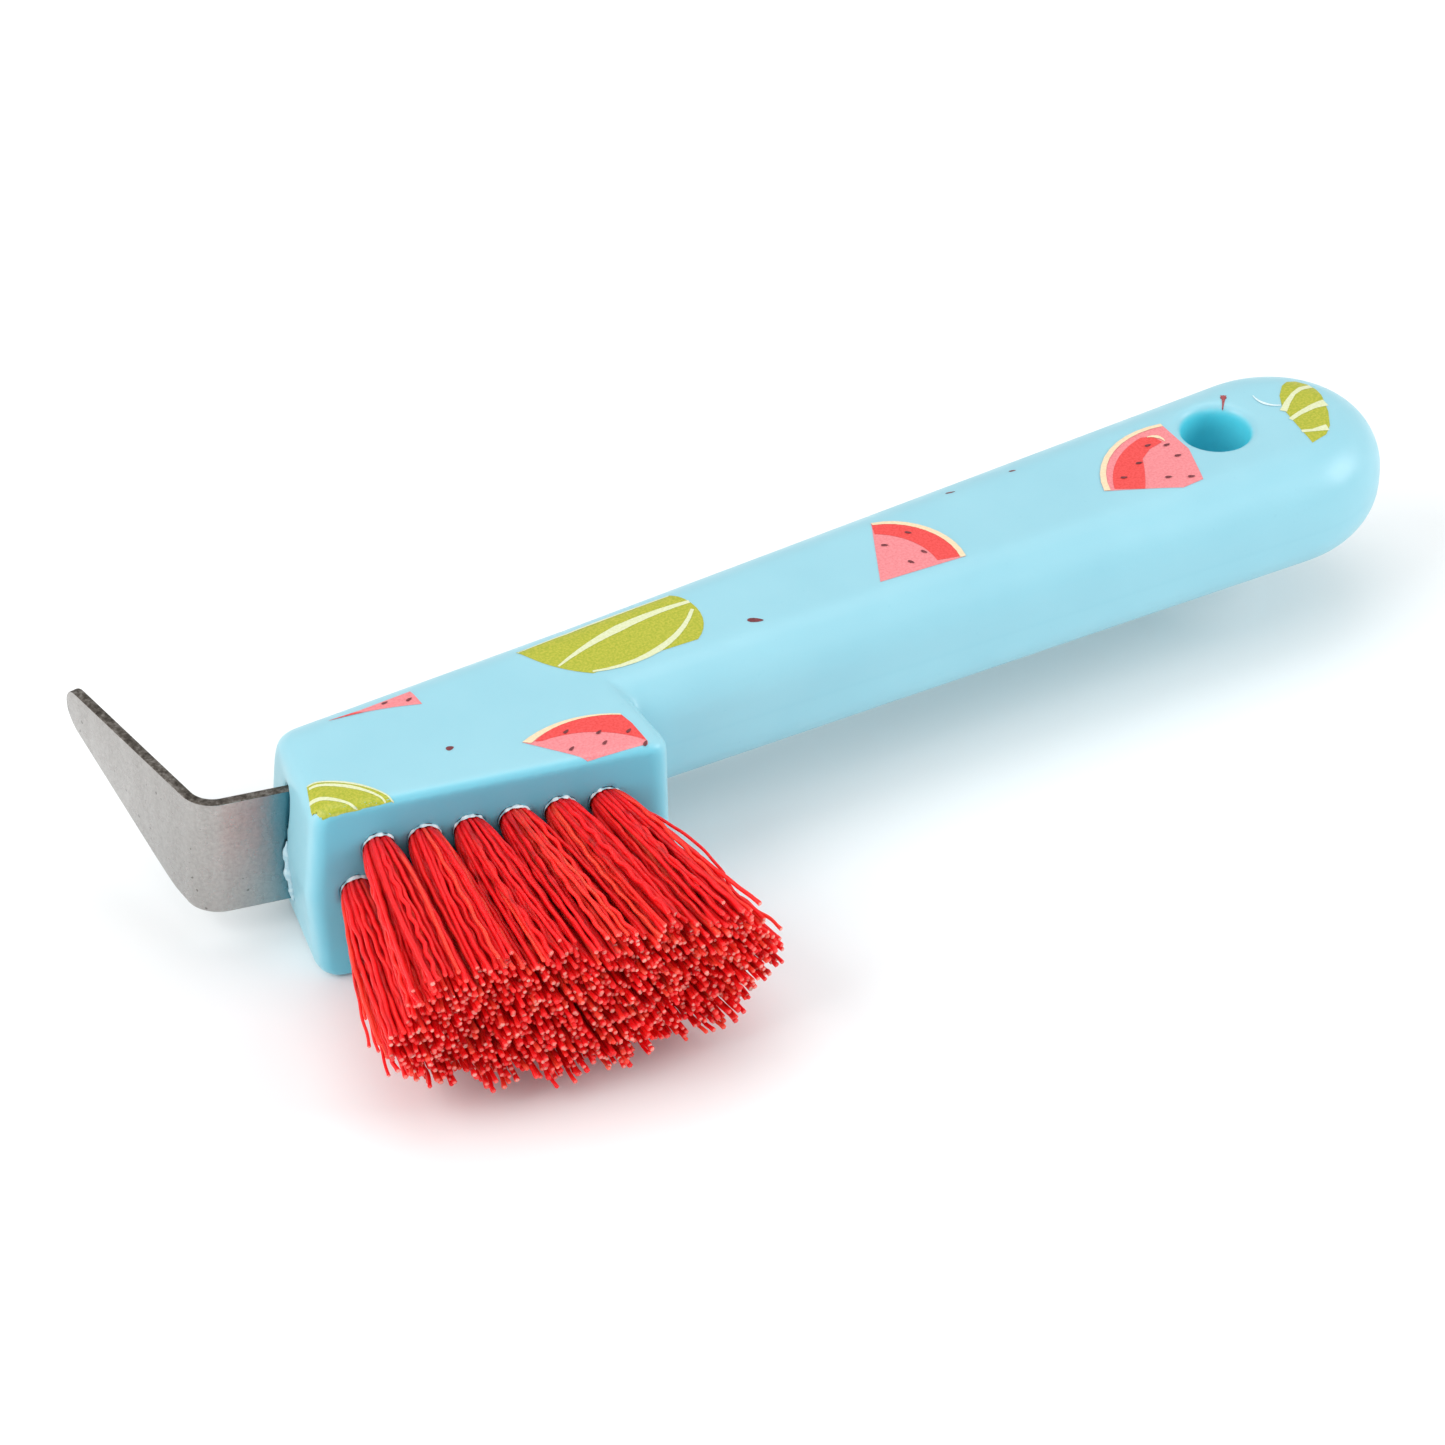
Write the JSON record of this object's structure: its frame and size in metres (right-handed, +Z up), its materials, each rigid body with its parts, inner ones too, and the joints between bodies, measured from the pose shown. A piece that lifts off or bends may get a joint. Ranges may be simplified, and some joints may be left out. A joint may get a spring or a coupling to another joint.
{
  "type": "hoof pick",
  "caption": "Hoof pick: tapering plastic grip with a hang hole and a brush block, stapled tufts of stiff red bristle, and a bent flat steel pick at the end.",
  "frame": {"origin": "middle of the footprint, on the surface that the brush block lies on", "axes": "+X along the grip from the pick to the hang hole, -Y towards the bristle tips, +Y towards the pick's tip, +Z up through the flat printed face"},
  "size_m": [0.167, 0.0772, 0.0259],
  "materials": {
    "handle_plastic": "satin-gloss moulded plastic, light blue, with a melon-slice print on its flat faces",
    "blade_steel": "flat-rolled steel strip with a dull tumbled surface and sheared edges",
    "bristle_nylon": "crimped nylon filament, glossy red",
    "anchor_wire": "flat brassed wire"
  },
  "bodies": {
    "root": {"handle": "handle_plastic", "pick_blade": "blade_steel", "tuft_r1_1": "bristle_nylon", "tuft_r1_2": "bristle_nylon", "tuft_r1_3": "bristle_nylon", "tuft_r1_4": "bristle_nylon", "tuft_r1_5": "bristle_nylon", "tuft_r1_6": "bristle_nylon", "tuft_r2_1": "bristle_nylon", "tuft_r2_2": "bristle_nylon", "tuft_r2_3": "bristle_nylon", "tuft_r2_4": "bristle_nylon", "tuft_r2_5": "bristle_nylon", "tuft_r2_6": "bristle_nylon", "tuft_r2_7": "bristle_nylon", "tuft_r3_1": "bristle_nylon", "tuft_r3_2": "bristle_nylon", "tuft_r3_3": "bristle_nylon", "tuft_r3_4": "bristle_nylon", "tuft_r3_5": "bristle_nylon", "tuft_r3_6": "bristle_nylon", "anchor_r1_1": "anchor_wire", "anchor_r1_2": "anchor_wire", "anchor_r1_3": "anchor_wire", "anchor_r1_4": "anchor_wire", "anchor_r1_5": "anchor_wire", "anchor_r1_6": "anchor_wire", "anchor_r2_1": "anchor_wire", "anchor_r2_2": "anchor_wire", "anchor_r2_3": "anchor_wire", "anchor_r2_4": "anchor_wire", "anchor_r2_5": "anchor_wire", "anchor_r2_6": "anchor_wire", "anchor_r2_7": "anchor_wire", "anchor_r3_1": "anchor_wire", "anchor_r3_2": "anchor_wire", "anchor_r3_3": "anchor_wire", "anchor_r3_4": "anchor_wire", "anchor_r3_5": "anchor_wire", "anchor_r3_6": "anchor_wire"}
  },
  "joints": []
}
